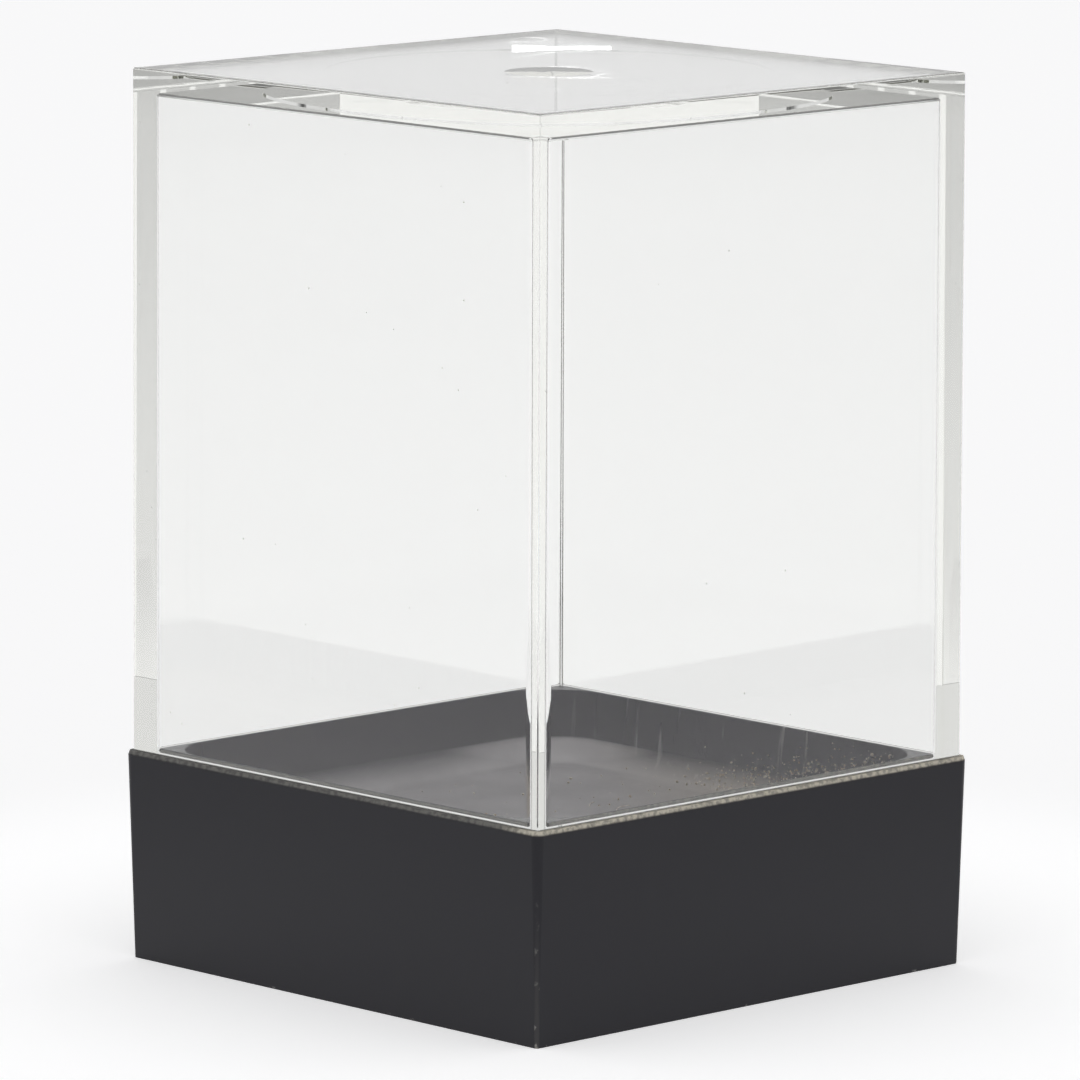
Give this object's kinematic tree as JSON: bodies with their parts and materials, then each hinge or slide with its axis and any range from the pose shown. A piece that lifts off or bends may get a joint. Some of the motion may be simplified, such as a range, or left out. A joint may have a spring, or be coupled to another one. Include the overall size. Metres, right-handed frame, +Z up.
{
  "type": "display cube",
  "caption": "Clear box-shaped plastic cover that lifts straight up off a black plastic base with a dished tray.",
  "frame": {"origin": "centre of the base's underside, on the surface that it stands on", "axes": "+Z up through the cover's roof, X and Y square to the sides"},
  "size_m": [0.0772, 0.0772, 0.116],
  "materials": {
    "black_plastic": "satin",
    "clear_plastic": "polished"
  },
  "bodies": {
    "base": {"base_tray": "black_plastic"},
    "cover": {"clear_cover": "clear_plastic"}
  },
  "joints": [
    {"name": "cover_lift", "type": "slide", "parent": "base", "child": "cover", "axis": [0, 0, 1], "range_m": [0, 0.1]}
  ]
}
